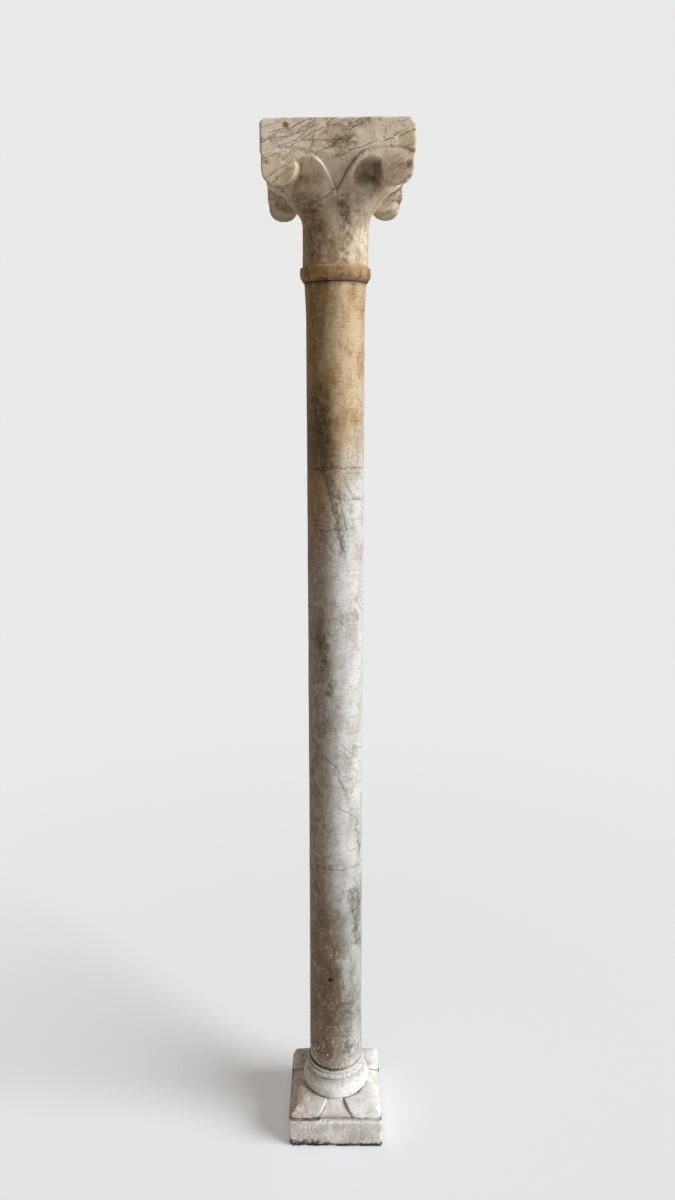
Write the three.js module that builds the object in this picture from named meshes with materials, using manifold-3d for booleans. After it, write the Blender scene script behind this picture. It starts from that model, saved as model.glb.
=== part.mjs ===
// A slender marble column of three stones: a square base with leaf-carved top, a tapering shaft, and a
// capital whose four corner leaves curl into volutes under a square abacus.
// Millimetres, +Z up. The origin is the middle of the base's underside.

import * as THREE from "three";
import { mergeVertices } from "three/addons/utils/BufferGeometryUtils.js";
import Module from "manifold-3d";

const wasm = await Module();
wasm.setup();

// Driving dimensions of the whole column
const COLUMN_HEIGHT = 2100;
const BASE_HEIGHT = 163;
const CAPITAL_HEIGHT = 247;
const BED_GAP = 0.4;

// How far carved pieces of one stone run into each other, and the steps round a turned or leafy part
const OVERLAP = 4;
const ROUND_STEPS = 48;
const PETAL_STEPS = 64;
const PETAL_CROWDING = 0.05;
const ARC_STEPS = 12;

// Base: plinth, leaves, cushion and ring
const BASE_WIDTH = 212;
const PLINTH_HEIGHT = 69;
const CUSHION_FOOT_Z = 97;
const CUSHION_FOOT_RADIUS = 73;
const CUSHION_LIP = 5;
const CUSHION_RADIUS = 76;
const CUSHION_SWELL = 2.2;
const CUSHION_TOP_Z = 139;
const CUSHION_TOP_RADIUS = 62;
const RING_RADIUS = 67;
const RING_TOP_Z = 154;
const RING_ROUNDING = 1.8;
const FILLET_RADIUS = 63.5;
const LEAF_RISE = 29;
const FACE_LEAF_ROLL = 1.5;
const CORNER_LEAF_ROLL = 3.2;
const LEAF_EDGE = 3;
const LEAF_SETBACK = 1;
const LEAF_ROOT_HALF_WIDTH = 17;
const LEAF_WAIST_HALF_WIDTH = 22;
const LEAF_WAIST_REACH = 89;
const LEAF_TIP_HALF_WIDTH = 42;
const BASE_CORNER_RADIUS = 7;

// Shaft: a taper with a swelling foot, flaring again just under the capital
const SHAFT_FOOT_RADIUS = 59.6;
const SHAFT_NECK_RADIUS = 55.7;
const SHAFT_HEAD_RADIUS = 58.6;
const SHAFT_TAPER = 2.2;
const HEAD_FLARE_HEIGHT = 70;
const ARRIS = 4;

// Capital: ring, bell, leaves, volutes and abacus, with heights from its lower bed
const NECK_RADIUS = 57.5;
const ASTRAGAL_RADIUS = 66.5;
const ASTRAGAL_HEIGHT = 25;
const BELL_RADIUS = 61.5;
const FLARE_START = 85;
const FIELD_START = 123;
const FIELD_APEX_Z = 147;
const ABACUS_WIDTH = 263;
const ABACUS_HEIGHT = 46;
const LEAF_REACH = 146;
const LEAF_LIP = 6;
const FIELD_SPREAD = THREE.MathUtils.degToRad(34);
const RIM_HALF_WIDTH = 88;
const RIM_BEND_X = 25;
const VOLUTE_RADIUS = 30;
const VOLUTE_NECK_RECESS = 2.5;
const HOLLOW_DEPTH = 30;
const HOLLOW_WIDTH = 46;
const RIM_BAND = 7;
const RIM_ROUNDING = 13;
const STALK_LENGTH = 46;
const STALK_ANGLE = THREE.MathUtils.degToRad(37);

const marble = (color, roughness) => new THREE.MeshStandardMaterial({ color, roughness, metalness: 0 });
const capitalMarble = marble(0xb9a88d, 0.55);
const shaftMarble = marble(0xb5a995, 0.5);
const baseMarble = marble(0xcfc8bb, 0.7);

// Solids and meshes

function solidOf(geometry) {
  const bare = geometry.index ? geometry.toNonIndexed() : geometry.clone();
  bare.deleteAttribute("normal");
  bare.deleteAttribute("uv");
  const merged = mergeVertices(bare, 1e-3);
  return new wasm.Manifold(
    new wasm.Mesh({
      numProp: 3,
      vertProperties: new Float32Array(merged.attributes.position.array),
      triVerts: new Uint32Array(merged.index.array),
    }),
  );
}

function geometryOf(solid) {
  const mesh = solid.getMesh();
  const geometry = new THREE.BufferGeometry();
  geometry.setAttribute("position", new THREE.BufferAttribute(mesh.vertProperties, 3));
  geometry.setIndex(new THREE.BufferAttribute(mesh.triVerts, 1));
  geometry.computeVertexNormals();
  return geometry;
}

function stone(name, solid, material, bedZ) {
  const mesh = new THREE.Mesh(geometryOf(solid), material);
  mesh.name = name;
  mesh.position.z = bedZ;
  return mesh;
}

const joined = (solids) => solids.reduce((whole, next) => whole.add(next));

// Four copies of a geometry, a quarter turn apart
const onFourSides = (geometry) =>
  [0, 1, 2, 3].map((side) => solidOf(geometry.clone().rotateZ((side * Math.PI) / 2)));

// A round stone whose section may change with the angle: section(angle) lists [radius, height] from the axis
// at the bottom to the axis at the top, and angle 0 faces the front (-Y). Crowding brings the steps closer
// together half way between the middle of a face and a corner.
function carvedRound(section, steps = ROUND_STEPS, crowding = 0) {
  const first = section(0);
  const outline = first.map(([radius, height]) => new THREE.Vector2(radius, height));
  const geometry = new THREE.LatheGeometry(outline, steps);
  const position = geometry.attributes.position;
  for (let step = 0; step <= steps; step++) {
    const turn = ((step % steps) / steps) * 2 * Math.PI;
    const angle = turn + crowding * Math.sin(8 * turn);
    section(angle).forEach(([radius, height], row) => {
      const x = radius * Math.sin(angle);
      const z = radius * Math.cos(angle);
      position.setXYZ(step * first.length + row, x, height, z);
    });
  }
  splitAlongShorter(geometry);
  return geometry.rotateX(Math.PI / 2);
}

// Splits each four-sided patch of a turned surface along its shorter diagonal, so left and right match
function splitAlongShorter(geometry) {
  const position = geometry.attributes.position;
  const index = geometry.index;
  const corner = (vertex) => new THREE.Vector3().fromBufferAttribute(position, vertex);
  for (let patch = 0; patch < index.count; patch += 6) {
    const [a, b, d, c] = [0, 1, 2, 3].map((place) => index.getX(patch + place));
    const shorter = corner(a).distanceTo(corner(c)) < corner(b).distanceTo(corner(d)) - 1e-6;
    const split = shorter ? [a, b, c, a, c, d] : [a, b, d, c, d, b];
    split.forEach((vertex, place) => index.setX(patch + place, vertex));
  }
}

const block = (width, low, high) =>
  new THREE.BoxGeometry(width, width, high - low).translate(0, 0, (low + high) / 2);

// Raises a plan outline from one height to another
const raised = (shape, low, high) =>
  new THREE.ExtrudeGeometry(shape, {
    depth: high - low,
    bevelEnabled: false,
    curveSegments: ARC_STEPS,
  }).translate(0, 0, low);

// Drives an outline drawn on the front face (x to the right, y up) through the stone, between two distances
// before the axis
const onFrontFace = (shape, near, far) => raised(shape, near, far).rotateX(Math.PI / 2);

// Curves

const smoothstep = THREE.MathUtils.smoothstep;
const lerp = THREE.MathUtils.lerp;
const evenly = (count, from, to) => Array.from({ length: count + 1 }, (_, i) => lerp(from, to, i / count));

// Angle from the nearest face's middle, 0 to 45 degrees
const offFace = (angle) => Math.abs(angle - Math.round(angle / (Math.PI / 2)) * (Math.PI / 2));

// 0 at the middle of a face, 1 at a corner
const cornerShare = (angle) => (1 - Math.cos(4 * angle)) / 2;

// Distance from the axis to the side of a square with rounded corners
function squareReach(angle, halfWidth, cornerRadius) {
  const bend = offFace(angle);
  const flat = halfWidth - cornerRadius;
  if (Math.tan(bend) * halfWidth <= flat) return halfWidth / Math.cos(bend);
  const along = flat * (Math.cos(bend) + Math.sin(bend));
  return along + Math.sqrt(along * along - 2 * flat * flat + cornerRadius * cornerRadius);
}

// Base

const LEAF_ROOT_RADIUS = CUSHION_FOOT_RADIUS - OVERLAP;

// A skirt of leaves from the cushion's foot out to the plinth's edge; the higher its roll, the later it turns
// down
function leafSkirt(roll) {
  const rows = evenly(6, 1, 0);
  const low = PLINTH_HEIGHT - OVERLAP;
  return carvedRound((angle) => {
    const edge = squareReach(angle, BASE_WIDTH / 2 - LEAF_SETBACK, BASE_CORNER_RADIUS);
    const slope = rows.map((share) => [
      lerp(LEAF_ROOT_RADIUS, edge, share),
      PLINTH_HEIGHT + LEAF_EDGE + (LEAF_RISE - LEAF_EDGE) * (1 - share ** roll),
    ]);
    return [[0, low], [edge, low], ...slope, [0, PLINTH_HEIGHT + LEAF_RISE]];
  });
}

// Plan outline of a corner leaf, between two face leaves
function cornerLeafOutline() {
  const half = BASE_WIDTH / 2;
  const shape = new THREE.Shape();
  shape.moveTo(LEAF_ROOT_HALF_WIDTH, LEAF_ROOT_RADIUS);
  shape.quadraticCurveTo(LEAF_WAIST_HALF_WIDTH, LEAF_WAIST_REACH, LEAF_TIP_HALF_WIDTH, half);
  shape.lineTo(half, half);
  shape.lineTo(half, LEAF_TIP_HALF_WIDTH);
  shape.quadraticCurveTo(LEAF_WAIST_REACH, LEAF_WAIST_HALF_WIDTH, LEAF_ROOT_RADIUS, LEAF_ROOT_HALF_WIDTH);
  shape.closePath();
  return shape;
}

// The turned part: a swelling cushion, a ring and the fillet that the shaft stands on
function turnedFoot() {
  const swell = evenly(6, 0, 1).map((share) => [
    lerp(CUSHION_RADIUS, CUSHION_TOP_RADIUS, share ** CUSHION_SWELL),
    lerp(CUSHION_FOOT_Z + CUSHION_LIP, CUSHION_TOP_Z, share),
  ]);
  const ringMiddle = (CUSHION_TOP_Z + RING_TOP_Z) / 2;
  const profile = [
    [0, PLINTH_HEIGHT],
    [CUSHION_FOOT_RADIUS, PLINTH_HEIGHT],
    [CUSHION_FOOT_RADIUS, CUSHION_FOOT_Z],
    ...swell,
    [RING_RADIUS - RING_ROUNDING, CUSHION_TOP_Z + RING_ROUNDING],
    [RING_RADIUS, ringMiddle],
    [RING_RADIUS - RING_ROUNDING, RING_TOP_Z - RING_ROUNDING],
    [FILLET_RADIUS - RING_ROUNDING, RING_TOP_Z],
    [FILLET_RADIUS, RING_TOP_Z + RING_ROUNDING],
    [FILLET_RADIUS, BASE_HEIGHT - RING_ROUNDING],
    [FILLET_RADIUS - RING_ROUNDING, BASE_HEIGHT],
    [0, BASE_HEIGHT],
  ];
  return carvedRound(() => profile);
}

function makeBase() {
  const leafPrism = raised(cornerLeafOutline(), PLINTH_HEIGHT - OVERLAP / 2, BASE_HEIGHT);
  const cornerLeaves = solidOf(leafSkirt(CORNER_LEAF_ROLL)).intersect(joined(onFourSides(leafPrism)));
  return joined([
    solidOf(block(BASE_WIDTH, 0, PLINTH_HEIGHT)),
    solidOf(leafSkirt(FACE_LEAF_ROLL)),
    cornerLeaves,
    solidOf(turnedFoot()),
  ]);
}

// Shaft

function makeShaft(length) {
  const flareFoot = length - HEAD_FLARE_HEIGHT;
  const flareRows = evenly(4, flareFoot, length - ARRIS).slice(1);
  const heights = [...evenly(9, ARRIS, flareFoot), ...flareRows];
  const body = heights.map((z) => {
    const taper = lerp(SHAFT_NECK_RADIUS, SHAFT_FOOT_RADIUS, (1 - z / length) ** SHAFT_TAPER);
    const flare = ((z - flareFoot) / HEAD_FLARE_HEIGHT) ** 2;
    return [taper + (z > flareFoot ? (SHAFT_HEAD_RADIUS - SHAFT_NECK_RADIUS) * flare : 0), z];
  });
  const foot = [SHAFT_FOOT_RADIUS - ARRIS / 2, 0];
  const head = [SHAFT_HEAD_RADIUS - ARRIS / 2, length];
  return solidOf(carvedRound(() => [[0, 0], foot, ...body, head, [0, length]]));
}

// Capital

const ABACUS_BOTTOM = CAPITAL_HEIGHT - ABACUS_HEIGHT;
const FIELD_TOP = ABACUS_BOTTOM - OVERLAP / 2;
const RIM_TOP = ABACUS_BOTTOM + OVERLAP;
const VOLUTE_OFFSET = ABACUS_WIDTH / 2 - VOLUTE_RADIUS;
const VOLUTE_Z = ABACUS_BOTTOM - VOLUTE_RADIUS;

// How far the bell reaches at the middle of a face and at a corner, by height
const faceReach = (z) => lerp(BELL_RADIUS, ABACUS_WIDTH / 2, smoothstep(z, FIELD_START, FIELD_TOP));
const cornerReach = (z) => lerp(BELL_RADIUS, LEAF_REACH, smoothstep(z, FLARE_START, RIM_TOP));

// Section of the plain field's core: round on the bell, square where it meets the abacus
function fieldReach(angle, z) {
  const square = smoothstep(z, (FIELD_START + FIELD_APEX_Z) / 2, FIELD_TOP);
  const bend = Math.min(offFace(angle), FIELD_SPREAD);
  return faceReach(z) * lerp(1, 1 / Math.cos(bend), square);
}

// Height of a leaf's rim at a distance from the middle of the face: one curved stroke from the field's point
function rimHeight(x) {
  const spread = RIM_HALF_WIDTH - 2 * RIM_BEND_X;
  const run = Math.sqrt(RIM_BEND_X * RIM_BEND_X + spread * Math.min(x, RIM_HALF_WIDTH));
  const t = (run - RIM_BEND_X) / spread;
  return lerp(lerp(FIELD_APEX_Z, ABACUS_BOTTOM, t), lerp(ABACUS_BOTTOM, RIM_TOP, t), t);
}

// The hollow a curling leaf leaves beside its volute: deepest against the volute, gone at the rim and on the
// stalk
function hollow(x, z) {
  const fromVolute = Math.hypot(x - VOLUTE_OFFSET, z - VOLUTE_Z) - VOLUTE_RADIUS;
  const across = 1 - THREE.MathUtils.clamp(fromVolute / HOLLOW_WIDTH, 0, 1);
  const ceiling = rimHeight(x) - RIM_BAND;
  const upward = 1 - smoothstep(z, ceiling - RIM_ROUNDING, ceiling);
  const downward = smoothstep(z, VOLUTE_Z - STALK_LENGTH, VOLUTE_Z);
  return HOLLOW_DEPTH * across ** 1.5 * upward * downward;
}

// Section of the leaves: they run out to the corners as stalks, stand before the field by their lip and are
// hollowed on both sides of the stalk
function leafReach(angle, z) {
  const lip = LEAF_LIP * smoothstep(z, FLARE_START, FIELD_APEX_Z);
  const face = faceReach(z) + lip;
  const petal = lerp(face, Math.max(face, cornerReach(z)), cornerShare(angle));
  const reach = Math.max(petal, fieldReach(angle, z) + lip);
  const side = 1 - smoothstep(offFace(angle), STALK_ANGLE, Math.PI / 4);
  return reach - side * hollow(reach * Math.sin(offFace(angle)), z);
}

// The bell with its ring, opening into four corner leaves
function leafyBell() {
  const ring = [
    [NECK_RADIUS, 0],
    [ASTRAGAL_RADIUS - 1, ASTRAGAL_HEIGHT * 0.4],
    [ASTRAGAL_RADIUS, ASTRAGAL_HEIGHT * 0.6],
    [ASTRAGAL_RADIUS - 1.2, ASTRAGAL_HEIGHT * 0.8],
    [ASTRAGAL_RADIUS - 3.5, ASTRAGAL_HEIGHT],
    [BELL_RADIUS, ASTRAGAL_HEIGHT * 1.12],
  ];
  const stalk = evenly(4, FLARE_START, FIELD_START);
  const curl = evenly(13, FIELD_START, RIM_TOP).slice(1);
  const heights = [(ASTRAGAL_HEIGHT + FLARE_START) / 2, ...stalk, ...curl];
  const section = (angle) => [[0, 0], ...ring, ...heights.map((z) => [leafReach(angle, z), z]), [0, RIM_TOP]];
  return carvedRound(section, PETAL_STEPS, PETAL_CROWDING);
}

// The core behind the leaves that shows as the plain field
function fieldCore() {
  const low = FIELD_APEX_Z - OVERLAP;
  const high = ABACUS_BOTTOM + OVERLAP / 2;
  const heights = [...evenly(7, low, FIELD_TOP), high];
  return carvedRound((angle) => [[0, low], ...heights.map((z) => [fieldReach(angle, z), z]), [0, high]]);
}

// The plain field on each face, from its point on the bell up along the leaves' rims to the abacus; drop sets the
// whole stroke lower, so the core behind it runs on under the rims
function fieldOutline(drop) {
  const shape = new THREE.Shape();
  shape.moveTo(0, FIELD_APEX_Z - drop);
  shape.quadraticCurveTo(RIM_BEND_X, ABACUS_BOTTOM - drop, RIM_HALF_WIDTH, RIM_TOP - drop);
  shape.lineTo(RIM_HALF_WIDTH, CAPITAL_HEIGHT);
  shape.lineTo(-RIM_HALF_WIDTH, CAPITAL_HEIGHT);
  shape.lineTo(-RIM_HALF_WIDTH, RIM_TOP - drop);
  shape.quadraticCurveTo(-RIM_BEND_X, ABACUS_BOTTOM - drop, 0, FIELD_APEX_Z - drop);
  return shape;
}

// Outline of a volute: a disc with a square shoulder up to the abacus on its outer side
function voluteOutline() {
  const shoulder = VOLUTE_RADIUS - VOLUTE_NECK_RECESS;
  const shoulderAngle = Math.acos(shoulder / VOLUTE_RADIUS);
  const shape = new THREE.Shape();
  shape.moveTo(VOLUTE_OFFSET, RIM_TOP);
  shape.absarc(VOLUTE_OFFSET, VOLUTE_Z, VOLUTE_RADIUS, Math.PI / 2, 2 * Math.PI + shoulderAngle, false);
  shape.lineTo(VOLUTE_OFFSET + shoulder, RIM_TOP);
  return shape;
}

// A volute is round seen from both faces that meet at its corner
function volutes() {
  const outline = voluteOutline();
  const near = ABACUS_WIDTH / 2 - 2 * VOLUTE_RADIUS;
  const far = ABACUS_WIDTH / 2;
  const fromFront = onFrontFace(outline, near, far);
  const mirrored = new THREE.Shape(outline.getPoints(ARC_STEPS).map((p) => new THREE.Vector2(-p.x, p.y)));
  const fromSide = onFrontFace(mirrored, near, far).rotateZ(Math.PI / 2);
  const corner = solidOf(fromFront).intersect(solidOf(fromSide));
  return onFourSides(geometryOf(corner));
}

function makeCapital() {
  const near = BELL_RADIUS - OVERLAP;
  const fields = joined(onFourSides(onFrontFace(fieldOutline(0), near, ABACUS_WIDTH)));
  const behindFields = joined(onFourSides(onFrontFace(fieldOutline(OVERLAP / 2), near - OVERLAP, ABACUS_WIDTH)));
  const leaves = solidOf(leafyBell())
    .intersect(solidOf(block(ABACUS_WIDTH, 0, CAPITAL_HEIGHT)))
    .subtract(fields);
  const core = solidOf(fieldCore()).intersect(behindFields);
  const abacus = solidOf(block(ABACUS_WIDTH, ABACUS_BOTTOM, CAPITAL_HEIGHT));
  return joined([leaves, core, ...volutes(), abacus]);
}

// The column, stone on stone

const SHAFT_LENGTH = COLUMN_HEIGHT - BASE_HEIGHT - CAPITAL_HEIGHT - 2 * BED_GAP;

const column = new THREE.Group();
column.add(stone("base", makeBase(), baseMarble, 0));
column.add(stone("shaft", makeShaft(SHAFT_LENGTH), shaftMarble, BASE_HEIGHT + BED_GAP));
column.add(stone("capital", makeCapital(), capitalMarble, COLUMN_HEIGHT - CAPITAL_HEIGHT));

export default column;
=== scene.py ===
# %% [markdown]
# # A marble column in three stones
#
# The column is a square base carved with leaves, a plain tapering shaft, and a capital whose four corner
# leaves curl over into volutes under a square slab, the abacus. A mason sawed three blocks, roughed them
# out with a point and finished the rounds against a template. Long use did the rest: edges are softened,
# corners are broken and the marble is stained. Here each stone is rebuilt from a rule, worn by seeded
# noise and then painted with nodes alone.

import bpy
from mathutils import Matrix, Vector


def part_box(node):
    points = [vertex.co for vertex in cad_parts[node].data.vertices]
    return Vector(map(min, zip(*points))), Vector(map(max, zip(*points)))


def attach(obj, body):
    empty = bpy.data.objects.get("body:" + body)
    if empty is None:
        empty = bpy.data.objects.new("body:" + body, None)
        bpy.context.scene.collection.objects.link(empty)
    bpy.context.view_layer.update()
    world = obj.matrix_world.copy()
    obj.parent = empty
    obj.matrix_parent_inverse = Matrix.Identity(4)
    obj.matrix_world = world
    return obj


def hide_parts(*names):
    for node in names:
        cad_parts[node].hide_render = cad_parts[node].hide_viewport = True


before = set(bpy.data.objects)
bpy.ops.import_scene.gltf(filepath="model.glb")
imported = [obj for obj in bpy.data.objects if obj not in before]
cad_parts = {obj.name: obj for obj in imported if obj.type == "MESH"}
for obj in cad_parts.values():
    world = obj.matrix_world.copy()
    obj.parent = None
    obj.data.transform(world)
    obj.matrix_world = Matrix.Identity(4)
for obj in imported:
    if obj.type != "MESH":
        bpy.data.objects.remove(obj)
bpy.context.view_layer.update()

# %% Plain tools and the stones' heights
import math

import bpy

MM = 1000.0


def heights(node):
    """Lowest and highest level of one stone of the frame, in millimetres."""
    low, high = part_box(node)
    return low[2] * MM, high[2] * MM


BASE_FOOT, BASE_TOP = heights("base")
SHAFT_FOOT, SHAFT_TOP = heights("shaft")
CAPITAL_FOOT, CAPITAL_TOP = heights("capital")
print("base", BASE_FOOT, BASE_TOP, "shaft", SHAFT_FOOT, SHAFT_TOP, "capital", CAPITAL_FOOT, CAPITAL_TOP)

# %% [markdown]
# ## Writing rules as nodes
#
# A node tree is arithmetic drawn with boxes and wires. For long formulas it is easier to write the
# arithmetic and let a small class place the boxes. A Field stands for one output socket, so adding two
# fields adds a Math node. The same bench works for Geometry Nodes, where a field shapes the stone, and
# for materials, where it paints it.


# %% Fields and the node bench
class Field:
    """A value that changes from place to place: one output socket of a node tree."""

    def __init__(self, bench, socket):
        self.bench = bench
        self.socket = socket

    def __add__(self, other):
        return self.bench.math("ADD", self, other)

    def __radd__(self, other):
        return self.bench.math("ADD", other, self)

    def __sub__(self, other):
        return self.bench.math("SUBTRACT", self, other)

    def __rsub__(self, other):
        return self.bench.math("SUBTRACT", other, self)

    def __mul__(self, other):
        return self.bench.math("MULTIPLY", self, other)

    def __rmul__(self, other):
        return self.bench.math("MULTIPLY", other, self)

    def __truediv__(self, other):
        return self.bench.math("DIVIDE", self, other)

    def __rtruediv__(self, other):
        return self.bench.math("DIVIDE", other, self)

    def __pow__(self, other):
        return self.bench.math("POWER", self, other)

    def __neg__(self):
        return self.bench.math("MULTIPLY", self, -1.0)

    def __abs__(self):
        return self.bench.math("ABSOLUTE", self)


class Bench:
    """Places nodes in one tree and hands their outputs back as fields."""

    def __init__(self, tree):
        self.tree = tree

    def feed(self, socket, value):
        if isinstance(value, Field):
            self.tree.links.new(value.socket, socket)
        else:
            socket.default_value = value

    def node(self, kind, inputs=None, **settings):
        made = self.tree.nodes.new(kind)
        for key, value in settings.items():
            setattr(made, key, value)
        for key, value in (inputs or {}).items():
            self.feed(made.inputs[key], value)
        return made

    def math(self, operation, *values):
        made = self.node("ShaderNodeMath", operation=operation)
        for socket, value in zip(made.inputs, values):
            self.feed(socket, value)
        return Field(self, made.outputs[0])

    def vector(self, operation, *values, output="Vector"):
        made = self.node("ShaderNodeVectorMath", operation=operation)
        for socket, value in zip(made.inputs, values):
            self.feed(socket, value)
        return Field(self, made.outputs[output])

    def scaled(self, vector, factor):
        made = self.node("ShaderNodeVectorMath", {"Vector": vector, "Scale": factor}, operation="SCALE")
        return Field(self, made.outputs["Vector"])

    def split(self, vector):
        made = self.node("ShaderNodeSeparateXYZ", {"Vector": vector})
        return [Field(self, socket) for socket in made.outputs]

    def join(self, x, y, z):
        return Field(self, self.node("ShaderNodeCombineXYZ", {"X": x, "Y": y, "Z": z}).outputs[0])

    def lower(self, first, *others):
        for other in others:
            first = self.math("MINIMUM", first, other)
        return first

    def upper(self, first, *others):
        for other in others:
            first = self.math("MAXIMUM", first, other)
        return first

    def soft_upper(self, first, second, reach):
        """The larger of two fields, with the edge between them worn round over the given reach."""
        return self.math("SMOOTH_MAX", first, second, reach)

    def soft_lower(self, first, second, reach):
        """The smaller of two fields, with the inner corner between them filled over the given reach."""
        return self.math("SMOOTH_MIN", first, second, reach)

    def clamp(self, value):
        return self.lower(self.upper(value, 0.0), 1.0)

    def length(self, x, y):
        return self.math("SQRT", x * x + y * y)

    def blend(self, first, second, share):
        return first + (second - first) * share

    def ramp(self, value, start, end):
        """Goes smoothly from 0 at start to 1 at end."""
        made = self.node("ShaderNodeMapRange", interpolation_type="SMOOTHSTEP")
        for socket, entry in zip(made.inputs, (value, start, end)):
            self.feed(socket, entry)
        return Field(self, made.outputs["Result"])

    def noise(self, place, size, detail=3.0, roughness=0.5, seed=0, distortion=0.0, output=0):
        """Cloudy noise from 0 to 1 with lumps about the given size. Each seed looks at another part of it."""
        moved = self.vector("ADD", place, (37.7 * seed * size, -91.3 * seed * size, 53.9 * seed * size))
        sizes = {"Vector": moved, "Scale": 1.0 / size, "Detail": detail, "Roughness": roughness}
        made = self.node("ShaderNodeTexNoise", {**sizes, "Distortion": distortion})
        return Field(self, made.outputs[output])

    def sway(self, place, size, amount, seed):
        """The place pushed about by noise, which puts straight work slightly out of true."""
        push = self.noise(place, size, detail=2.0, seed=seed, output="Color")
        centred = self.vector("SUBTRACT", push, (0.5, 0.5, 0.5))
        return self.vector("ADD", place, self.scaled(centred, 2.0 * amount))


print("bench ready")

# %% [markdown]
# ## From a rule to a stone
#
# A stone is described by a distance field: a number that is negative inside the marble, zero on its skin
# and positive outside. The smaller of two such fields joins two shapes and the larger one keeps what they
# share, so carving is a matter of taking minimums and maximums. Volume Cube samples the field on a fine
# grid and Volume to Mesh wraps a closed skin round the negative part. Sizes are named inputs of the tree,
# so a learner can find each by name and try another leaf or a fatter ring.


# %% The stone cutter
CRUMB_POINTS = 1000.0


class Stone(Bench):
    """A Geometry Nodes tree that makes one stone."""

    def __init__(self, name):
        tree = bpy.data.node_groups.new(name, "GeometryNodeTree")
        tree.interface.new_socket("Geometry", in_out="OUTPUT", socket_type="NodeSocketGeometry")
        super().__init__(tree)
        self.named_sizes = self.node("NodeGroupInput")
        self.inputs = {}
        self.notes = {}

    def size(self, name, value):
        """A named input of the tree, in millimetres unless its name says otherwise."""
        socket = self.tree.interface.new_socket(name, in_out="INPUT", socket_type="NodeSocketFloat")
        socket.default_value = value
        self.inputs[socket.identifier] = value
        return Field(self, self.named_sizes.outputs[name])

    def place(self):
        """Where the field is being asked for, in millimetres."""
        return self.scaled(Field(self, self.node("GeometryNodeInputPosition").outputs[0]), MM)

    def solid(self, distance, low, high, cell):
        """The closed skin of a distance field between two corners, sampled every cell millimetres."""
        counts = {f"Resolution {axis}": round((h - l) / cell) + 1 for axis, l, h in zip("XYZ", low, high)}
        corners = {"Min": [v / MM for v in low], "Max": [v / MM for v in high]}
        filled = {"Density": -distance, "Background": -1.0}
        grid = self.node("GeometryNodeVolumeCube", {**filled, **corners, **counts})
        volume = Field(self, grid.outputs[0])
        skin = self.node("GeometryNodeVolumeToMesh", {"Volume": volume, "Threshold": 0.0})
        return self.without_crumbs(Field(self, skin.outputs["Mesh"]))

    def without_crumbs(self, mesh):
        """The skin without the loose bits that wear has cut off, known by their few points."""
        island = Field(self, self.node("GeometryNodeInputMeshIsland").outputs["Island Index"])
        count = self.node("GeometryNodeAccumulateField", data_type="FLOAT", domain="POINT")
        self.feed(count.inputs["Value"], 1.0)
        self.feed(count.inputs["Group ID"], island)
        few = self.math("LESS_THAN", Field(self, count.outputs["Total"]), CRUMB_POINTS)
        chosen = {"Geometry": mesh, "Selection": few}
        whole = self.node("GeometryNodeDeleteGeometry", chosen, domain="POINT")
        return Field(self, whole.outputs[0])

    def keep(self, mesh, name, value):
        """Stores a field on the skin's points under a name, for the paint to read."""
        store = self.node("GeometryNodeStoreNamedAttribute", data_type="FLOAT", domain="POINT")
        for key, entry in {"Geometry": mesh, "Name": name, "Value": value}.items():
            self.feed(store.inputs[key], entry)
        return Field(self, store.outputs[0])

    def mark(self, mesh, name, rounds):
        """Stores how hollow the skin is, in millimetres: above zero in grooves, below on edges."""
        here = Field(self, self.node("GeometryNodeInputPosition").outputs[0])
        blur = self.node("GeometryNodeBlurAttribute", data_type="FLOAT_VECTOR")
        self.feed(blur.inputs["Value"], here)
        self.feed(blur.inputs["Iterations"], rounds)
        gap = self.vector("SUBTRACT", Field(self, blur.outputs["Value"]), here)
        normal = Field(self, self.node("GeometryNodeInputNormal").outputs[0])
        depth = self.vector("DOT_PRODUCT", gap, normal, output="Value") * MM
        return self.keep(mesh, name, depth)

    def make(self, name, mesh, material):
        """Runs the tree on an empty object and keeps the result as a plain mesh."""
        for attribute, rounds in (("groove", 5), ("shelter", 40)):
            mesh = self.mark(mesh, attribute, rounds)
        for attribute, value in self.notes.items():
            mesh = self.keep(mesh, attribute, value)
        smooth = self.node("GeometryNodeSetShadeSmooth", {"Geometry": mesh})
        real = self.node("GeometryNodeRealizeInstances", {"Geometry": Field(self, smooth.outputs[0])})
        bare = Field(self, real.outputs[0])
        paint = self.node("GeometryNodeSetMaterial", {"Geometry": bare, "Material": material})
        self.node("NodeGroupOutput", {"Geometry": Field(self, paint.outputs[0])})
        blank = bpy.data.objects.new(name + "_rule", bpy.data.meshes.new(name + "_rule"))
        bpy.context.collection.objects.link(blank)
        rule = blank.modifiers.new(name, "NODES")
        rule.node_group = self.tree
        for identifier, value in self.inputs.items():
            rule[identifier] = value
        seen = blank.evaluated_get(bpy.context.evaluated_depsgraph_get())
        skin = bpy.data.meshes.new_from_object(seen)
        blank.modifiers.remove(rule)
        bpy.data.objects.remove(blank)
        skin.name = name
        stone = bpy.data.objects.new(name, skin)
        bpy.context.collection.objects.link(stone)
        print(name, "has", sum(len(face.vertices) - 2 for face in skin.polygons), "triangles")
        return stone


print("stone cutter ready")

# %% [markdown]
# ## The base
#
# The base is one squat block: a square plinth, a low skirt of leaves, a round cushion, a ring and a thin
# fillet that carries the shaft. The mason left four big leaves standing over the corners and cut four
# lower ones back between them. In plan the stone repeats in every quarter, so the rule folds the place
# into one eighth with absolute values and writes one corner leaf and one face leaf only.


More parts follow.
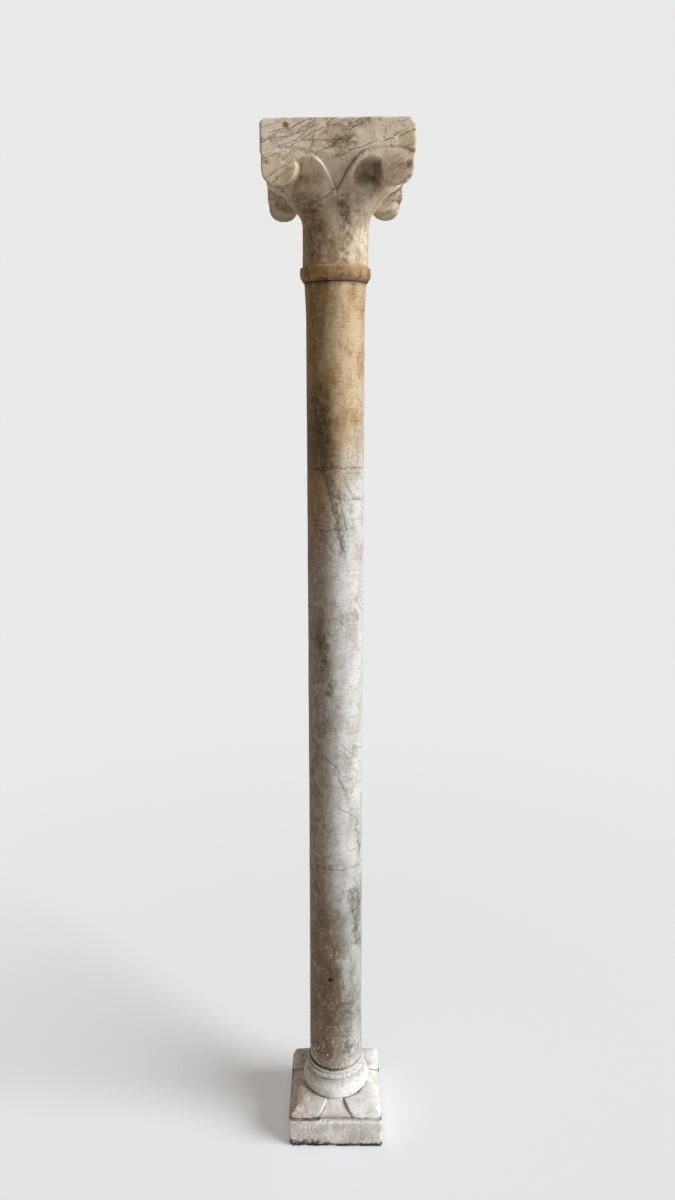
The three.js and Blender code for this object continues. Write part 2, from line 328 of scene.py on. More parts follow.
# %% Carve the base
CORNER_WEAR = 13
LEAF_LIFT = 3
LEAF_PILLOW = 14
BELLY_LEVEL = 102
CUSHION_TOP = 139
ROOT_RADIUS = 71
ROOT_TOP = 110
CORE_RADIUS = 59.5
RING_LEVEL = 146.5
RING_HALF = 6.2
FILLET_LEVEL = 158.5
FILLET_HALF = 4.5


def carve_base(stone):
    place = stone.place()
    bed = stone.split(place)[2]
    x, y, z = stone.split(stone.sway(place, size=55, amount=1.3, seed=1))
    across, along = abs(x), abs(y)
    outer, inner = stone.upper(across, along), stone.lower(across, along)
    radius = stone.length(x, y)

    half = stone.size("Half width", 106.0)
    plinth_height = stone.size("Plinth height", 69.0)
    plan = stone.soft_upper(across - half, along - half, CORNER_WEAR)
    plinth = stone.soft_upper(plan, z - plinth_height, 5)

    root = stone.size("Leaf root radius", 69.0)
    edge = (half - 1) * radius / outer
    share = stone.clamp((radius - root) / (edge - root))
    rise = stone.size("Leaf rise", 26.0)
    foot = plinth_height + LEAF_LIFT
    face_leaf = z - (foot + rise * (1.0 - share ** stone.size("Face leaf roll (power)", 1.5)))
    pillow = LEAF_PILLOW * share * (1 - share)
    corner_leaf = z - (foot + pillow + rise * (1.0 - share ** stone.size("Corner leaf roll (power)", 3.2)))
    # The corner leaf's rim is bent: after each step along it, counted from 0 to 1, it has gone
    # 40 step - 3 step^2 outwards from the root and 17 + 10 step + 15 step^2 sideways.
    step = (40 - stone.math("SQRT", 1600 - 12 * (outer - root))) / 6
    rim = 17 + 10 * step + 15 * step * step - inner
    corner_leaf = stone.soft_upper(corner_leaf, rim * 0.8, 2.5)
    corner_middle = (inner - 72) / 32
    corner_leaf = stone.soft_upper(corner_leaf * 0.85, plan + 0.6 + 3.4 * corner_middle * corner_middle, 6)
    face_leaf = stone.soft_upper(face_leaf * 0.85, plan + 3, 6)
    leaves = stone.lower(face_leaf, corner_leaf)
    crease = 2.6 - stone.length((plan + 1) * 0.4, z - plinth_height - 1.8)

    swell = stone.clamp((z - BELLY_LEVEL) / (CUSHION_TOP - BELLY_LEVEL))
    belly = radius - (stone.size("Cushion radius", 76.0) - 14.0 * swell ** 2.2)
    cushion = stone.upper(stone.soft_upper(belly, BELLY_LEVEL - 2.5 - z, 5), z - CUSHION_TOP)
    neck = stone.lower(stone.upper(radius - ROOT_RADIUS, z - ROOT_TOP), radius - CORE_RADIUS)
    ring_middle = stone.size("Ring radius", 67.0) - RING_HALF
    ring = stone.length(radius - ring_middle, z - RING_LEVEL) - RING_HALF
    fillet_side = radius - stone.size("Fillet radius", 63.5)
    fillet = stone.soft_upper(fillet_side, abs(z - FILLET_LEVEL) - FILLET_HALF, 3)
    skirt = stone.lower(plinth, leaves)
    whole = stone.upper(skirt, crease)
    whole = stone.lower(whole, cushion, neck, ring, fillet)

    wear = stone.size("Wear", 1.0)
    softened = stone.noise(place, 26, detail=4, seed=2) * 1.5
    pits = stone.ramp(stone.noise(place, 5.5, detail=2, seed=3), 0.60, 0.74) * 1.5
    gnawed = stone.ramp(stone.noise(place, 5, seed=4), 0.50, 0.72)
    collar = stone.ramp(z, 137, 143) * gnawed * 1.1
    whole = whole + (softened + pits + collar) * wear

    joints = stone.lower(stone.upper(skirt, cushion), stone.upper(face_leaf, corner_leaf))
    joints = stone.lower(joints, stone.upper(cushion, ring), stone.upper(ring, fillet))
    stone.notes["joint"] = stone.lower(joints, 1 - crease)
    from_edge = bed - plan
    broken = stone.ramp(stone.noise(place, 24, detail=5, roughness=0.6, seed=5), 0.46, 0.72) * 9
    crumbled = stone.ramp(stone.noise(place, 9, seed=6), 0.38, 0.68) * 5
    worst = stone.ramp(x, -10, -80) * stone.ramp(y, -70, -104) * crumbled * 1.6
    whole = stone.upper(whole, (broken + crumbled + worst - from_edge) * 0.7 * wear)
    return stone.upper(whole, -bed, bed - BASE_TOP)


print("base rule ready")

# %% [markdown]
# ## The shaft
#
# The shaft was turned or dressed round against a template: it thins slightly upward, swells a little at
# the foot and flares under the capital. A fine cylinder follows that rule, then noise makes it a few
# tenths of a millimetre uneven, cracks cut shallow lines, and a small hole and some chips near the foot
# are pressed in.


# %% Carve the shaft
# Level of each crack, and the x where it starts and ends.
CRACKS = (
    (1514, -70, 70),
    (1456, 0, 70),
    (1412, -70, -14),
    (1396, -34, 34),
    (666, -70, 70),
)
CRACK_SWING = 22
CRACK_FADE = 6
HOLE = (-12.5, -56, 396)
FLARE_LENGTH = 70
SHAFT_LENGTH = SHAFT_TOP - SHAFT_FOOT
SHAFT_SIDES = 132
SHAFT_ROWS = 620


def crack_lines(bench, place, width):
    """1 on the shaft's hairline cracks and 0 away from them, over the given width."""
    x, _, z = bench.split(place)
    jagged = (bench.noise(place, 16, detail=4, roughness=0.62, seed=21) - 0.5) * CRACK_SWING
    lines = None
    for level, start, end in CRACKS:
        part = bench.ramp(x, start - CRACK_FADE, start + CRACK_FADE)
        part = part * bench.ramp(x, end + CRACK_FADE, end - CRACK_FADE)
        line = bench.ramp(abs(z - level - jagged), width, 0) * part
        lines = line if lines is None else bench.upper(lines, line)
    return lines


def carve_shaft(stone):
    tube = stone.node("GeometryNodeMeshCylinder", fill_type="TRIANGLE_FAN")
    for key, value in {"Vertices": SHAFT_SIDES, "Side Segments": SHAFT_ROWS, "Fill Segments": 24}.items():
        stone.feed(tube.inputs[key], value)
    for key, value in {"Radius": 1, "Depth": 1}.items():
        stone.feed(tube.inputs[key], value)
    x, y, z = stone.split(Field(stone, stone.node("GeometryNodeInputPosition").outputs[0]))
    rise = z + 0.5
    level = rise * SHAFT_LENGTH
    top_radius = stone.size("Top radius", 55.7)
    taper = top_radius + (stone.size("Foot radius", 59.6) - top_radius) * stone.clamp(1.0 - rise) ** 2.2
    flare = stone.clamp((level - (SHAFT_LENGTH - FLARE_LENGTH)) / FLARE_LENGTH)
    profile = taper + stone.size("Flare", 2.9) * flare * flare
    arris = stone.ramp(level, 4, 0) * 1.2
    arris = arris + stone.ramp(level, SHAFT_LENGTH - 3, SHAFT_LENGTH) * 0.9
    place = stone.join(x * profile, y * profile, level + SHAFT_FOOT)
    wear = stone.size("Wear", 1.0)
    uneven = stone.noise(place, 130, detail=2, seed=11) * 1.6
    uneven = uneven + stone.noise(place, 22, seed=12) * 0.7 - 1
    pits = stone.ramp(stone.noise(place, 7, detail=2, seed=13), 0.68, 0.80) * 0.7
    split = crack_lines(stone, place, 2.6) * 0.7
    from_hole = stone.vector("DISTANCE", place, HOLE, output="Value")
    hole = stone.ramp(from_hole, 6, 1.5) * 5
    foot_chips = stone.ramp(stone.noise(place, 11, seed=14), 0.60, 0.70)
    foot_chips = stone.ramp(level, 95, 30) * foot_chips
    worn = (uneven + pits + split + hole + foot_chips) * wear + arris
    reach = profile - worn
    shaped = stone.join(x * reach / MM, y * reach / MM, (level + SHAFT_FOOT) / MM)
    skin = Field(stone, tube.outputs["Mesh"])
    moved = stone.node("GeometryNodeSetPosition", {"Geometry": skin, "Position": shaped})
    return Field(stone, moved.outputs[0])


print("shaft rule ready")

# %% [markdown]
# ## The capital
#
# The capital starts as a round bell on a ring. Four smooth leaves grow from the bell towards the corners
# of the abacus and curl over into round volutes, and between each pair of leaves a plain V-shaped field
# runs down from the abacus. The rule gives the distance from the axis to the leaf or to the field for
# each height and direction, and picks one of them by which side of the leaf's curved rim the place is on.
# The stone was set slightly askew, so everything above the bell is turned and tilted by a degree or so.


# %% Carve the capital
SCOOP_DROP = 10.5
ROLL_END = 82
ABACUS_EDGE = 194
NECK_RING_WAIST = 13
NECK_RING_TOP = 27
TOP_ROOM = 3


def carve_capital(stone):
    place = stone.place()
    bed = stone.split(place)[2] - CAPITAL_FOOT
    x, y, z = stone.split(stone.sway(place, size=70, amount=1.2, seed=31))
    z = z - CAPITAL_FOOT
    high = stone.ramp(z, 30, 140)
    turn = stone.size("Turn (radians)", math.radians(1.4)) * high
    x = x - stone.size("Shift", 1.5) * high
    cosine, sine = stone.math("COSINE", turn), stone.math("SINE", turn)
    x, y = x * cosine + y * sine, y * cosine - x * sine
    slope = stone.size("Tilt (rise per width)", 0.016)
    half = stone.size("Abacus half width", 131.5)
    z = z + slope * (half - x) * high
    across, along = abs(x), abs(y)
    outer, inner = stone.upper(across, along), stone.lower(across, along)
    radius = stone.length(x, y)
    off = stone.math("ARCTAN2", inner, outer)
    height = stone.size("Height", CAPITAL_TOP - CAPITAL_FOOT + 2.8)
    abacus_foot = height - stone.size("Abacus thickness", 48.5)

    bell = stone.size("Bell radius", 61.5)
    face = stone.blend(bell, half, stone.ramp(z, 123, abacus_foot - 2))
    corner = stone.blend(bell, stone.size("Leaf reach", 146.0), stone.ramp(z, 85.0, abacus_foot + 4.0))
    square = 1 / stone.math("COSINE", stone.lower(off, math.radians(34)))
    field = face * stone.blend(1, square, stone.ramp(z, 135, abacus_foot - 2))
    lip = stone.size("Leaf lip", 8.0) * stone.ramp(z, 95.0, 150.0)
    swing = (1 - stone.math("COSINE", off * 4)) * 0.5
    petal = stone.blend(face + lip, stone.upper(face + lip, corner), swing)
    reach = stone.upper(petal, field + lip)

    behind = stone.ramp(y, 20, 70)
    eye = stone.size("Volute offset", 100.5)
    eye_z = stone.size("Volute height", 172.5) - stone.size("Drop of the back volutes", 12.0) * behind
    eye_radius = stone.size("Volute radius", 29.5)
    rim_span = stone.size("Rim half span", 88.0)
    rim_rise = stone.size("Rim rise", 61.5)
    bow = stone.size("Rim bow (power)", 2.7)
    to_corner = stone.clamp(1 - inner / rim_span)
    past = stone.upper(inner - rim_span, 0)
    rim = stone.size("Rim foot", 142.5) + rim_rise * (1.0 - to_corner ** bow) - 0.006 * past * past
    steep = rim_rise * bow / rim_span * to_corner ** (bow - 1)
    from_rim = (z - rim) / stone.math("SQRT", 1 + steep * steep)

    from_scoop = inner - stone.size("Hollow offset", 52.0)
    scoop = stone.length(from_scoop, z - eye_z + SCOOP_DROP) - eye_radius
    under = stone.ramp(scoop, 0.5, -8) * stone.ramp(from_rim, -3, -12)
    hollow = stone.size("Hollow depth", 20.0) * under * stone.ramp(z, eye_z - 24.0, eye_z + 3.0)
    hollow = hollow * stone.ramp(off, math.radians(45), math.radians(40))
    disc_face = half - stone.size("Setback of the volutes", 2.0)
    leaf = stone.upper(radius - (reach - hollow), outer - disc_face)
    plain = stone.upper(radius - field, outer - half)
    body = stone.blend(leaf, plain, stone.ramp(from_rim, -2.2, 2.2))
    body = stone.upper(body, z - abacus_foot - 4) * 0.8

    sunk = stone.upper(disc_face - along, 0)
    inner_side = stone.clamp((eye - across) / 20)
    slant = stone.lower(sunk, 18) * 0.6 * inner_side * stone.ramp(z, eye_z - 24, eye_z + 8)
    taper = sunk * stone.size("Taper of the roll", 0.22) * (1.0 - inner_side)
    power = stone.size("Volute squareness (power)", 2.15)
    roll = (abs(across - eye) ** power + abs(z - eye_z) ** power) ** (1 / power)
    roll = stone.soft_upper(roll - eye_radius - slant + taper, ROLL_END - along, 10)
    volute = stone.soft_upper(roll, outer - disc_face, 1.5)
    shoulder = stone.upper(eye - 20 - inner, outer - disc_face, eye_z - z, z - abacus_foot - 4)
    abacus = stone.soft_upper(across - half, along - half, 6)
    abacus = stone.soft_upper(stone.upper(abacus, stone.upper(rim, ABACUS_EDGE) - z), z - height, 4)

    low = stone.clamp((NECK_RING_WAIST - z) / NECK_RING_WAIST)
    ring = stone.size("Ring radius", 66.5) - 8.5 * low * low
    ring = stone.soft_upper(radius - ring, z - NECK_RING_TOP, 5)
    whole = stone.lower(body, stone.soft_lower(volute, shoulder, 3), abacus, ring)

    stone.notes["leaf_rim"] = from_rim
    stone.notes["scoop"] = scoop
    wear = stone.size("Wear", 1.0)
    softened = stone.noise(place, 24, detail=4, seed=32) * 1.1
    pits = stone.ramp(stone.noise(place, 6, detail=2, seed=33), 0.64, 0.76) * 1.2
    whole = whole + (softened + pits) * wear
    nibbled = stone.ramp(stone.noise(place, 15, detail=4, seed=34), 0.54, 0.72) * 5
    whole = stone.upper(whole, (nibbled - (height - z) - (half - outer)) * 0.7 * wear)
    chip = stone.noise(place, 14, seed=35) * 5
    right_chip = (x - half) * 0.68 - (y + half) * 0.25 + (z - height) * 0.68 + 7 + chip
    left_chip = -(x + half) * 0.66 - (y + half) * 0.06 + (z - height) * 0.74 + 4 + chip
    whole = stone.upper(whole, right_chip * wear, left_chip * wear)
    return stone.upper(whole, -bed, bed - (CAPITAL_TOP - CAPITAL_FOOT + TOP_ROOM))


print("capital rule ready")

# %% [markdown]
# ## Marble by nodes
#
# Marble is pale calcite with thin dark seams. A seam is the place where a stretched, twisted noise passes
# through its middle value, so a narrow band around that value draws long wandering lines. Age adds the
# rest: brown patina, dirt, paler worn edges, rust spots and pits. Painted shade is laid in as well: brown on
# the left, shadow side, and dark in grooves, hollows and joints, with a painted highlight on the lit leaf
# rims.
# The grooves and edges are known from the attributes that the stone cutter stored, so the paint follows the
# carving.


# %% The paint bench
def tone(red, green, blue):
    """A colour seen on screen as 0 to 255, turned into the linear values that a shader wants."""
    values = [v / 255.0 for v in (red, green, blue)]
    return [v / 12.92 if v < 0.04045 else ((v + 0.055) / 1.055) ** 2.4 for v in values] + [1.0]


class Paint(Bench):
    """The node tree of one material."""

    def __init__(self, name):
        self.material = bpy.data.materials.new(name)
        self.material.use_nodes = True
        super().__init__(self.material.node_tree)
        self.tree.nodes.clear()
        where = self.node("ShaderNodeTexCoord")
        self.place = self.scaled(Field(self, where.outputs["Object"]), MM)
        self.x, self.y, self.z = self.split(self.place)
        self.colour = None

    def stored(self, name):
        made = self.node("ShaderNodeAttribute", attribute_name=name, attribute_type="GEOMETRY")
        return Field(self, made.outputs["Fac"])

    def mix(self, first, second, share):
        made = self.node("ShaderNodeMix", data_type="RGBA")
        for index, value in ((0, share), (6, first), (7, second)):
            self.feed(made.inputs[index], value)
        return Field(self, made.outputs[2])

    def coat(self, colour, share):
        """Lays a colour over the coats so far. A share of 1 hides them."""
        self.colour = self.mix(self.colour, colour, share)

    def patches(self, size, start, end, seed, detail=3.0):
        """Patches of about the given size, from 0 where the noise is start to 1 where it is end."""
        return self.ramp(self.noise(self.place, size, detail=detail, seed=seed), start, end)

    def along(self, degrees, stretch):
        """The place measured along and across seams that rise at the given angle as seen from the front."""
        cosine, sine = math.cos(math.radians(degrees)), math.sin(math.radians(degrees))
        length = self.x * cosine + self.z * sine
        across = self.z * cosine - self.x * sine
        return self.join(length / stretch, self.y / (0.5 + 0.5 * stretch), across)

    def seams(self, where, size, width, seed, detail=5.0, twist=0.8):
        """Thin lines, 1 in the middle of a seam and 0 away from it."""
        cloud = self.noise(where, size, detail=detail, roughness=0.55, seed=seed, distortion=twist)
        return self.ramp(abs(cloud - 0.5), width, 0.0)

    def streaks(self, drawn, bend, seed, core=0.75):
        """Single seams on the front, each drawn from one x and z to another with a width in millimetres."""
        sway_x = (self.noise(self.place, 24.0, detail=5.0, roughness=0.6, seed=seed) - 0.5) * bend
        sway_z = (self.noise(self.place, 24.0, detail=5.0, roughness=0.6, seed=seed + 1) - 0.5) * bend
        x, z = self.x + sway_x, self.z + sway_z
        total = None
        for (x0, z0), (x1, z1), width in drawn:
            run, rise = x1 - x0, z1 - z0
            share = self.clamp(((x - x0) * run + (z - z0) * rise) / (run * run + rise * rise))
            gap = self.length(x - x0 - share * run, z - z0 - share * rise)
            line = self.ramp(gap, width * 0.6, 0.0) * core + self.ramp(gap, width * 2.2, 0.0) * (1.0 - core)
            total = line if total is None else self.upper(total, line)
        broken = self.ramp(self.noise(self.place, 7.0, seed=seed + 2), 0.30, 0.56)
        return total * (0.35 + broken * 0.65) * self.ramp(self.y, 0.0, -20.0)

    def spot(self, centre, radius, ragged):
        """A stain round one point."""
        gap = self.vector("DISTANCE", self.place, centre, output="Value")
        return self.ramp(gap + (ragged - 0.5) * radius * 1.6, radius, radius * 0.45)

    def finish(self, roughness, relief, depth):
        """Joins the colour, the roughness and the small relief into one surface."""
        bump = self.node("ShaderNodeBump", {"Strength": 0.7, "Distance": depth / MM, "Height": relief})
        looks = {"Base Color": self.colour, "Roughness": roughness}
        surface = self.node("ShaderNodeBsdfPrincipled", looks)
        self.feed(surface.inputs["Normal"], Field(self, bump.outputs[0]))
        surface.inputs["Specular IOR Level"].default_value = 0.3
        end = self.node("ShaderNodeOutputMaterial")
        self.tree.links.new(surface.outputs[0], end.inputs["Surface"])
        return self.material


print("paint bench ready")

# %% [markdown]
# ## Paint of the shaft
#
# The shaft goes from warm cream under the capital through greyish white in the middle to a duller grey at
# the foot. The side towards negative X, the shadow side, carries a brown patina and painted shade that spread
# over the front near the foot.
# A smoky vein slants down from the left at about eye level, hairline cracks ring the stone at five
# heights, a net of fine lines sits in the middle, and the dressing tool left faint level scratches all
# the way down.

# %% Shaft marble
SHAFT_SMOKE = (
    ((-34, 1660), (-20, 1560), 15),
    ((-20, 1560), (0, 1450), 12),
    ((0, 1450), (16, 1350), 6),
    ((-30, 1180), (-12, 1060), 9),
    ((38, 610), (48, 480), 8),
    ((-6, 420), (4, 270), 13),
    ((20, 330), (26, 215), 11),
)
SHAFT_SEAMS = (
    ((-24, 1520), (-2, 1428), 4),
    ((-2, 1430), (19, 1345), 3),
    ((6, 1475), (24, 1385), 2.2),
    ((-47, 953), (3, 897), 3),
    ((3, 897), (24, 831), 2.6),
    ((-34, 926), (12, 874), 2),
    ((3, 815), (45, 780), 1.8),
    ((45, 780), (51, 658), 2.2),
    ((-30, 575), (-6, 481), 2.2),
    ((-6, 481), (10, 329), 2.6),
    ((35, 572), (49, 497), 2.6),
    ((42, 640), (52, 560), 2.2),
    ((8, 335), (42, 296), 2),
)


HOLE_SHADE = (-12.5, -55.5, 396)
NET_MIDDLE = (14, -54, 1206)


def shaft_ground(paint, level, cloud):
    """The stone's own colour: white in the middle, cream and rusty at the top, dull grey at the foot."""
    x, y, z = paint.x, paint.y, paint.z
    white = paint.mix(tone(220, 220, 219), tone(192, 190, 186), paint.ramp(cloud, 0.40, 0.68))
    cream = paint.mix(tone(214, 192, 158), tone(184, 154, 110), paint.ramp(cloud, 0.40, 0.66))
    paint.colour = paint.mix(white, cream, paint.ramp(level - x * 2.6, 1330, 1620))
    dull = paint.mix(tone(180, 181, 179), tone(134, 132, 127), paint.ramp(cloud, 0.38, 0.66))
    paint.coat(dull, paint.ramp(level - x * 1, 820, 440))
    drips = paint.noise(paint.join(x, y, z * 0.5), 22, detail=6, roughness=0.7, seed=44)
    rust = paint.ramp(drips, 0.50, 0.66) * paint.ramp(level - x, 1420, 1720)
    paint.coat(tone(168, 118, 60), rust * 0.7)


def shaft_patina_and_shade(paint, level, fibre, ragged):
    """Brown patina with painted shade on the left, shadow side, the dark patch near the top and the smoky
    veins.
    """
    x, y, z = paint.x, paint.y, paint.z
    # Brown on the left, shadow side: patina and painted shade, reaching further right and deeper near the
    # foot.
    spread = paint.ramp(level, 800, 300) * 22
    patina_and_shade = paint.ramp(x + ragged * 1.3 - spread, 22, -44)
    depth = 0.50 + paint.ramp(fibre, 0.36, 0.62) * 0.24 + paint.ramp(level, 1000, 400) * 0.18
    paint.coat(tone(110, 76, 32), patina_and_shade * depth)
    patch = paint.ramp(x + ragged, 30, -26) * paint.ramp(y, 0, -20)
    patch = patch * paint.ramp(z + ragged, 1680, 1590) * paint.ramp(z + ragged * 0.8, 1470, 1540)
    paint.coat(tone(96, 80, 54), patch * 0.55)
    thick = 0.45 + paint.ramp(fibre, 0.38, 0.60) * 0.55
    smoke = paint.streaks(SHAFT_SMOKE, 34, seed=56, core=0) * thick
    paint.coat(tone(64, 50, 30), smoke * 0.72)


def shaft_seams(paint, ragged):
    """Dark seams: the drawn ones, two scattered kinds and the net of fine lines."""
    place = paint.place
    dark = paint.streaks(SHAFT_SEAMS, 20, seed=46)
    broad = paint.seams(paint.along(-64, 3.6), 46, 0.030, seed=48)
    broad = broad * paint.patches(80, 0.50, 0.62, seed=49)
    fine = paint.seams(paint.along(-40, 2), 24, 0.020, seed=50)
    fine = fine * paint.patches(50, 0.50, 0.62, seed=51)
    net_cells = paint.node("ShaderNodeTexVoronoi", {"Scale": 1 / 12}, feature="DISTANCE_TO_EDGE")
    loose = paint.sway(paint.join(paint.x, paint.y, paint.z * 0.7), size=12, amount=9, seed=52)
    paint.feed(net_cells.inputs["Vector"], loose)
    net = paint.ramp(Field(paint, net_cells.outputs["Distance"]), 0.07, 0)
    from_net = paint.vector("DISTANCE", place, NET_MIDDLE, output="Value")
    net = net * paint.ramp(from_net + ragged, 46, 10)
    return paint.upper(dark * 0.9, broad * 0.45, fine * 0.45, net * 0.75)


def shaft_ends(paint, grain, ragged):
    """Pale chips and dust near the foot, painted shade in the small hole, and dark bands of dirt and painted
    shade at both ends.
    """
    x, z = paint.x, paint.z
    chips = paint.patches(11, 0.60, 0.66, seed=14)
    chips = chips * paint.ramp(z, 262, 200)
    dust = paint.ramp(z + ragged * 0.5, 205, 168) * paint.ramp(grain, 0.42, 0.6)
    paint.coat(tone(236, 232, 224), paint.upper(chips * 0.85, dust * 0.6))
    # Painted shade in the small hole.
    hole = paint.spot(HOLE_SHADE, 6.5, grain)
    paint.coat(tone(28, 22, 18), hole * 0.92)
    # Dark at both joints, under the capital's ring and at the foot, stronger on the left at the foot: dirt
    # and painted shade.
    top_dirt_and_shade = paint.ramp(z + (grain - 0.5) * 16, SHAFT_TOP - 9, SHAFT_TOP - 1)
    foot_dirt_and_shade = paint.ramp(z + (grain - 0.5) * 8, SHAFT_FOOT + 7, SHAFT_FOOT + 1)
    foot_dirt_and_shade = foot_dirt_and_shade * (0.25 + paint.ramp(x + ragged, 36, -10) * 0.6)
    paint.coat(tone(70, 46, 24), paint.upper(top_dirt_and_shade * 0.65, foot_dirt_and_shade))


def paint_shaft():
    paint = Paint("shaft_marble")
    place, x, y, z = paint.place, paint.x, paint.y, paint.z
    level = z + (paint.noise(place, 120, detail=5, roughness=0.6, seed=41) - 0.5) * 300
    cloud = paint.noise(paint.join(x, y, z * 0.5), 34, detail=6, roughness=0.65, seed=42)
    fibre = paint.noise(paint.join(x, y, z * 0.62), 9, detail=6, roughness=0.7, seed=54)
    grain = paint.noise(place, 4, detail=4, roughness=0.7, seed=43)
    level_lines = paint.join(x * 0.12, y * 0.12, z * 1.2)
    combed = paint.noise(level_lines, 4.5, detail=4, roughness=0.65, seed=55)
    ragged = (paint.noise(place, 26, detail=6, roughness=0.64, seed=45) - 0.5) * 46

    shaft_ground(paint, level, cloud)
    shaft_patina_and_shade(paint, level, fibre, ragged)
    paint.coat(tone(124, 102, 72), paint.ramp(fibre, 0.52, 0.70) * 0.32)
    paint.coat(tone(240, 237, 231), paint.ramp(fibre, 0.46, 0.30) * 0.20)
    paint.coat(tone(108, 96, 78), paint.ramp(combed, 0.50, 0.70) * 0.30)
    paint.coat(tone(242, 240, 236), paint.ramp(combed, 0.44, 0.28) * 0.24)
    seam = shaft_seams(paint, ragged)
    paint.coat(tone(72, 62, 50), seam * 0.8)
    cracks = crack_lines(paint, place, 1.2)
    paint.coat(tone(38, 32, 26), cracks * 0.7)
    specks = paint.patches(3.2, 0.63, 0.72, seed=53, detail=2)
    paint.coat(tone(84, 62, 38), specks * (0.3 + paint.ramp(level, 900, 1500) * 0.35))
    shaft_ends(paint, grain, ragged)

    roughness = 0.44 + grain * 0.3
    relief = grain * 0.5 + fibre * 0.5 + combed * 0.4 - cracks * 1.4 - seam * 0.4 - specks * 0.6
    return paint.finish(roughness, relief, 1)


print("shaft paint ready with", len(SHAFT_SEAMS), "drawn seams")

# %% [markdown]
# ## Paint of the capital
#
# The capital is beige marble crossed by many thin dark seams that rise to the right across the abacus.
# Brown dirt has settled on the bell, whose left, shadow side also carries patina and painted shade, and the
# leaves on the right hold a painted shadow in their hollows beside the discs. The ring at the neck is ochre,
# and there are rust spots where iron once touched the stone. Worn edges are pale, the leaf rims on the left
# carry a painted highlight, the crease beside the rims on the right a painted shade, and the right front
# volute's disc a brownish painted shade.

# %% Capital marble
CAPITAL_SEAMS = (
    ((-123, 2060), (-50, 2095), 1.5),
    ((-111, 2074), (-58, 2090), 1.2),
    ((-108, 2061), (-28, 2087), 1.5),
    ((-58, 2065), (25, 2066), 1.3),
    ((-34, 2044), (28, 2068), 1.6),
    ((2, 2039), (70, 2065), 1.6),
    ((26, 2080), (58, 2098), 2.6),
    ((20, 2062), (30, 2086), 1.4),
    ((-42, 2052), (-34, 2078), 1.3),
    ((-75, 2055), (-20, 2085), 1.2),
    ((104, 2069), (134, 2083), 2.4),
    ((75, 2063), (104, 2070), 1.4),
    ((-118, 2006), (-76, 2030), 1.5),
    ((-108, 1999), (-82, 2018), 1.4),
    ((-122, 2036), (-96, 2044), 1.2),
    ((0, 2001), (-18, 1986), 1.2),
)
CAPITAL_SMOKE = (
    ((10, 2084), (52, 2100), 7),
    ((-4, 2060), (28, 2070), 7),
    ((-40, 1982), (-44, 1925), 12),
    ((-24, 1950), (-40, 1895), 9),
    ((14, 1985), (22, 1925), 9),
    ((22, 1925), (18, 1880), 7),
    ((-66, 1988), (-40, 1966), 10),
)


def capital_bell(paint, level, cloud, mottle):
    """Brown runs and blots on the bell, patina with painted shade on its left, shadow side, smoke above it
    and the ochre ring below.
    """
    x, y, z = paint.x, paint.y, paint.z
    bell = paint.ramp(level, 180, 110)
    runs = paint.noise(paint.join(x, y, z * 0.45), 22, detail=6, roughness=0.68, seed=63)
    paint.coat(tone(150, 112, 66), paint.ramp(runs, 0.47, 0.66) * bell * 0.62)
    blots = paint.ramp(paint.noise(paint.place, 12, detail=6, roughness=0.7, seed=64), 0.50, 0.66)
    paint.coat(tone(112, 82, 46), blots * bell * 0.5)
    # Brown on the bell's left, shadow side: patina and painted shade.
    patina_and_shade = paint.ramp(x + (cloud - 0.5) * 60, 10, -60)
    paint.coat(tone(122, 88, 46), patina_and_shade * bell * 0.58)
    thick = 0.4 + paint.ramp(mottle, 0.38, 0.60) * 0.6
    smoke = paint.streaks(CAPITAL_SMOKE, 30, seed=74, core=0) * thick
    paint.coat(tone(98, 66, 30), smoke * 0.78)
    ring = paint.ramp(level + (mottle - 0.5) * 14, 33, 24)
    ochre = paint.mix(tone(172, 130, 78), tone(126, 88, 44), paint.ramp(runs, 0.40, 0.62))
    paint.coat(ochre, ring * 0.8)


def capital_seams(paint, level):
    """Dark seams: the drawn ones and two scattered kinds above the bell."""
    dark = paint.streaks(CAPITAL_SEAMS, 11, seed=65)
    long_seams = paint.seams(paint.along(27, 4.2), 22, 0.026, seed=68, twist=0.5)
    long_seams = long_seams * paint.patches(55, 0.42, 0.56, seed=69)
    short_seams = paint.seams(paint.along(-62, 2.2), 22, 0.018, seed=70)
    short_seams = short_seams * paint.patches(45, 0.50, 0.62, seed=71)
    seam = paint.upper(long_seams * 0.6, short_seams * 0.45) * paint.ramp(level, 105, 165)
    return paint.upper(dark, seam)


def capital_spots(paint, mottle, grain):
    """Single rust spots, soot on the right corner and one fresh chip."""
    upper_rust = paint.spot((-82, -131, 2087), 7.5, grain)
    lower_rust = paint.spot((-116, -128, 2030), 7, grain)
    paint.coat(tone(140, 86, 34), paint.upper(upper_rust, lower_rust) * 0.88)
    upper_soot = paint.spot((125, -126, 2030), 8, mottle)
    lower_soot = paint.spot((128, -122, 2010), 7, mottle)
    paint.coat(tone(70, 54, 40), paint.upper(upper_soot, lower_soot) * 0.7)
    fresh_chip = paint.spot((103, -131, 2069), 5.5, grain)
    paint.coat(tone(240, 236, 228), fresh_chip)


